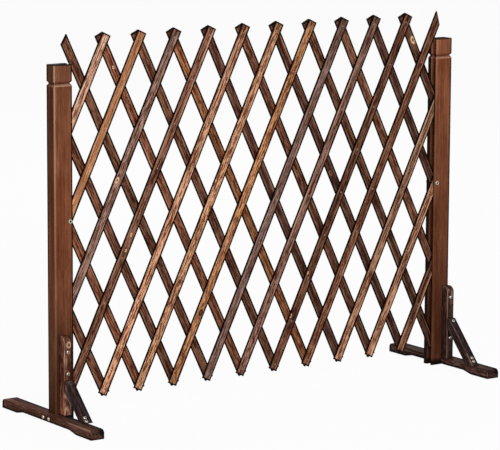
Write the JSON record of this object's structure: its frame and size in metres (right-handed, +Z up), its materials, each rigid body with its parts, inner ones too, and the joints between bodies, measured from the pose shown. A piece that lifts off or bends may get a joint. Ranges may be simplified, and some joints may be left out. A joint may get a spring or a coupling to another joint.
{
  "type": "expandable trellis",
  "caption": "Free-standing folding wooden trellis: a riveted lattice of crossed slats held between two slotted posts on braced feet.",
  "frame": {"origin": "centre of the footprint on the floor, between the two stands", "axes": "+X along the lattice to the right, +Y towards the back, +Z up"},
  "size_m": [1.0634, 0.354, 0.8028],
  "materials": {
    "slat_amber": "carbonised and stained softwood lath, amber tone, brushed grain",
    "slat_tan": "carbonised and stained softwood lath, tan tone, brushed grain",
    "slat_red": "carbonised and stained softwood lath, red tone, brushed grain",
    "slat_umber": "carbonised and stained softwood lath, umber tone, brushed grain",
    "slat_grey": "carbonised and stained softwood lath, grey tone, brushed grain",
    "slat_dark": "carbonised and stained softwood lath, dark tone, brushed grain",
    "post": "carbonised and stained softwood, planed",
    "foot": "carbonised and stained softwood, planed",
    "cleat": "carbonised and stained softwood, planed",
    "brace": "carbonised and stained softwood, planed",
    "screw_steel": "zinc plated",
    "pivot_steel": "zinc plated"
  },
  "bodies": {
    "left_stand": {"left_post": "post", "left_foot": "foot", "left_cleat": "cleat", "left_brace": "brace", "left_cleat_screw_1": "screw_steel", "left_cleat_screw_2": "screw_steel", "left_brace_screw_1": "screw_steel", "left_brace_screw_2": "screw_steel", "left_brace_screw_3": "screw_steel", "left_foot_screw_1": "screw_steel", "left_foot_screw_2": "screw_steel", "left_pivot_bolt": "pivot_steel", "left_pivot_nut": "pivot_steel"},
    "right_stand": {"right_post": "post", "right_foot": "foot", "right_cleat": "cleat", "right_brace": "brace", "right_cleat_screw_1": "screw_steel", "right_cleat_screw_2": "screw_steel", "right_brace_screw_1": "screw_steel", "right_brace_screw_2": "screw_steel", "right_brace_screw_3": "screw_steel", "right_foot_screw_1": "screw_steel", "right_foot_screw_2": "screw_steel", "right_pivot_bolt": "pivot_steel", "right_pivot_nut": "pivot_steel"},
    "front_01": {"front_slat_01": "slat_tan"},
    "front_02": {"front_slat_02": "slat_amber"},
    "front_03": {"front_slat_03": "slat_grey"},
    "front_04": {"front_slat_04": "slat_umber"},
    "front_05": {"front_slat_05": "slat_tan"},
    "front_06": {"front_slat_06": "slat_amber"},
    "front_07": {"front_slat_07": "slat_amber"},
    "front_08": {"front_slat_08": "slat_grey"},
    "front_09": {"front_slat_09": "slat_grey"},
    "front_10": {"front_slat_10": "slat_dark"},
    "front_11": {"front_slat_11": "slat_umber"},
    "front_12": {"front_slat_12": "slat_tan"},
    "front_13": {"front_slat_13": "slat_tan"},
    "front_14": {"front_slat_14": "slat_umber"},
    "back_01": {"back_slat_01": "slat_umber"},
    "back_02": {"back_slat_02": "slat_red"},
    "back_03": {"back_slat_03": "slat_umber"},
    "back_04": {"back_slat_04": "slat_umber"},
    "back_05": {"back_slat_05": "slat_red"},
    "back_06": {"back_slat_06": "slat_umber"},
    "back_07": {"back_slat_07": "slat_red"},
    "back_08": {"back_slat_08": "slat_dark"},
    "back_09": {"back_slat_09": "slat_umber"},
    "back_10": {"back_slat_10": "slat_dark"},
    "back_11": {"back_slat_11": "slat_dark"},
    "back_12": {"back_slat_12": "slat_umber"},
    "back_13": {"back_slat_13": "slat_dark"},
    "back_14": {"back_slat_14": "slat_umber"}
  },
  "joints": [
    {"name": "lattice_fold", "type": "hinge", "parent": "left_stand", "child": "front_02", "pos_m": [-0.4772, -0.003, 0.41984], "axis": [0, 1, 0], "range_deg": [-17.6, 29.4]},
    {"name": "rivet_back_02", "type": "hinge", "parent": "front_02", "child": "back_02", "pos_m": [-0.4772, -0.003, 0.41984], "axis": [0, 1, 0], "range_deg": [-58.8, 35.2]},
    {"name": "rivet_back_03", "type": "hinge", "parent": "front_02", "child": "back_03", "pos_m": [-0.43381, -0.003, 0.51038], "axis": [0, 1, 0], "range_deg": [-58.8, 35.2]},
    {"name": "rivet_back_04", "type": "hinge", "parent": "front_02", "child": "back_04", "pos_m": [-0.39043, -0.003, 0.60093], "axis": [0, 1, 0], "range_deg": [-58.8, 35.2]},
    {"name": "rivet_back_05", "type": "hinge", "parent": "front_02", "child": "back_05", "pos_m": [-0.34705, -0.003, 0.69147], "axis": [0, 1, 0], "range_deg": [-58.8, 35.2]},
    {"name": "rivet_back_06", "type": "hinge", "parent": "front_02", "child": "back_06", "pos_m": [-0.30367, -0.003, 0.78201], "axis": [0, 1, 0], "range_deg": [-58.8, 35.2]},
    {"name": "rivet_front_03", "type": "hinge", "parent": "back_06", "child": "front_03", "pos_m": [-0.26029, -0.003, 0.69147], "axis": [0, 1, 0], "range_deg": [-35.2, 58.8]},
    {"name": "rivet_front_04", "type": "hinge", "parent": "back_06", "child": "front_04", "pos_m": [-0.21691, -0.003, 0.60093], "axis": [0, 1, 0], "range_deg": [-35.2, 58.8]},
    {"name": "rivet_front_05", "type": "hinge", "parent": "back_06", "child": "front_05", "pos_m": [-0.17353, -0.003, 0.51038], "axis": [0, 1, 0], "range_deg": [-35.2, 58.8]},
    {"name": "rivet_front_06", "type": "hinge", "parent": "back_06", "child": "front_06", "pos_m": [-0.13014, -0.003, 0.41984], "axis": [0, 1, 0], "range_deg": [-35.2, 58.8]},
    {"name": "rivet_front_07", "type": "hinge", "parent": "back_06", "child": "front_07", "pos_m": [-0.08676, -0.003, 0.32929], "axis": [0, 1, 0], "range_deg": [-35.2, 58.8]},
    {"name": "rivet_front_08", "type": "hinge", "parent": "back_06", "child": "front_08", "pos_m": [-0.04338, -0.003, 0.23875], "axis": [0, 1, 0], "range_deg": [-35.2, 58.8]},
    {"name": "rivet_front_09", "type": "hinge", "parent": "back_06", "child": "front_09", "pos_m": [0, -0.003, 0.14821], "axis": [0, 1, 0], "range_deg": [-35.2, 58.8]},
    {"name": "rivet_front_10", "type": "hinge", "parent": "back_06", "child": "front_10", "pos_m": [0.04338, -0.003, 0.05766], "axis": [0, 1, 0], "range_deg": [-35.2, 58.8]},
    {"name": "rivet_front_01", "type": "hinge", "parent": "back_04", "child": "front_01", "pos_m": [-0.43381, -0.003, 0.69147], "axis": [0, 1, 0], "range_deg": [-35.2, 58.8]},
    {"name": "rivet_back_01", "type": "hinge", "parent": "front_04", "child": "back_01", "pos_m": [-0.43381, -0.003, 0.14821], "axis": [0, 1, 0], "range_deg": [-58.8, 35.2]},
    {"name": "rivet_back_07", "type": "hinge", "parent": "front_10", "child": "back_07", "pos_m": [0.08676, -0.003, 0.14821], "axis": [0, 1, 0], "range_deg": [-58.8, 35.2]},
    {"name": "rivet_back_08", "type": "hinge", "parent": "front_10", "child": "back_08", "pos_m": [0.13014, -0.003, 0.23875], "axis": [0, 1, 0], "range_deg": [-58.8, 35.2]},
    {"name": "rivet_back_09", "type": "hinge", "parent": "front_10", "child": "back_09", "pos_m": [0.17353, -0.003, 0.32929], "axis": [0, 1, 0], "range_deg": [-58.8, 35.2]},
    {"name": "rivet_back_10", "type": "hinge", "parent": "front_10", "child": "back_10", "pos_m": [0.21691, -0.003, 0.41984], "axis": [0, 1, 0], "range_deg": [-58.8, 35.2]},
    {"name": "rivet_back_11", "type": "hinge", "parent": "front_10", "child": "back_11", "pos_m": [0.26029, -0.003, 0.51038], "axis": [0, 1, 0], "range_deg": [-58.8, 35.2]},
    {"name": "rivet_back_12", "type": "hinge", "parent": "front_10", "child": "back_12", "pos_m": [0.30367, -0.003, 0.60093], "axis": [0, 1, 0], "range_deg": [-58.8, 35.2]},
    {"name": "rivet_back_13", "type": "hinge", "parent": "front_10", "child": "back_13", "pos_m": [0.34705, -0.003, 0.69147], "axis": [0, 1, 0], "range_deg": [-58.8, 35.2]},
    {"name": "rivet_back_14", "type": "hinge", "parent": "front_10", "child": "back_14", "pos_m": [0.39043, -0.003, 0.78201], "axis": [0, 1, 0], "range_deg": [-58.8, 35.2]},
    {"name": "rivet_front_11", "type": "hinge", "parent": "back_14", "child": "front_11", "pos_m": [0.43381, -0.003, 0.69147], "axis": [0, 1, 0], "range_deg": [-35.2, 58.8]},
    {"name": "rivet_front_12", "type": "hinge", "parent": "back_14", "child": "front_12", "pos_m": [0.4772, -0.003, 0.60093], "axis": [0, 1, 0], "range_deg": [-35.2, 58.8]},
    {"name": "rivet_front_13", "type": "hinge", "parent": "back_12", "child": "front_13", "pos_m": [0.43381, -0.003, 0.32929], "axis": [0, 1, 0], "range_deg": [-35.2, 58.8]},
    {"name": "rivet_front_14", "type": "hinge", "parent": "back_12", "child": "front_14", "pos_m": [0.4772, -0.003, 0.23875], "axis": [0, 1, 0], "range_deg": [-35.2, 58.8]},
    {"name": "right_stand_pivot", "type": "hinge", "parent": "front_13", "child": "right_stand", "pos_m": [0.4772, -0.003, 0.41984], "axis": [0, 1, 0], "range_deg": [-29.4, 17.6]}
  ],
  "couplings": [
    {"joint": "rivet_back_02", "follows": "lattice_fold", "ratio": -2},
    {"joint": "rivet_back_03", "follows": "lattice_fold", "ratio": -2},
    {"joint": "rivet_back_04", "follows": "lattice_fold", "ratio": -2},
    {"joint": "rivet_back_05", "follows": "lattice_fold", "ratio": -2},
    {"joint": "rivet_back_06", "follows": "lattice_fold", "ratio": -2},
    {"joint": "rivet_front_03", "follows": "lattice_fold", "ratio": 2},
    {"joint": "rivet_front_04", "follows": "lattice_fold", "ratio": 2},
    {"joint": "rivet_front_05", "follows": "lattice_fold", "ratio": 2},
    {"joint": "rivet_front_06", "follows": "lattice_fold", "ratio": 2},
    {"joint": "rivet_front_07", "follows": "lattice_fold", "ratio": 2},
    {"joint": "rivet_front_08", "follows": "lattice_fold", "ratio": 2},
    {"joint": "rivet_front_09", "follows": "lattice_fold", "ratio": 2},
    {"joint": "rivet_front_10", "follows": "lattice_fold", "ratio": 2},
    {"joint": "rivet_front_01", "follows": "lattice_fold", "ratio": 2},
    {"joint": "rivet_back_01", "follows": "lattice_fold", "ratio": -2},
    {"joint": "rivet_back_07", "follows": "lattice_fold", "ratio": -2},
    {"joint": "rivet_back_08", "follows": "lattice_fold", "ratio": -2},
    {"joint": "rivet_back_09", "follows": "lattice_fold", "ratio": -2},
    {"joint": "rivet_back_10", "follows": "lattice_fold", "ratio": -2},
    {"joint": "rivet_back_11", "follows": "lattice_fold", "ratio": -2},
    {"joint": "rivet_back_12", "follows": "lattice_fold", "ratio": -2},
    {"joint": "rivet_back_13", "follows": "lattice_fold", "ratio": -2},
    {"joint": "rivet_back_14", "follows": "lattice_fold", "ratio": -2},
    {"joint": "rivet_front_11", "follows": "lattice_fold", "ratio": 2},
    {"joint": "rivet_front_12", "follows": "lattice_fold", "ratio": 2},
    {"joint": "rivet_front_13", "follows": "lattice_fold", "ratio": 2},
    {"joint": "rivet_front_14", "follows": "lattice_fold", "ratio": 2},
    {"joint": "right_stand_pivot", "follows": "lattice_fold", "ratio": -1}
  ]
}
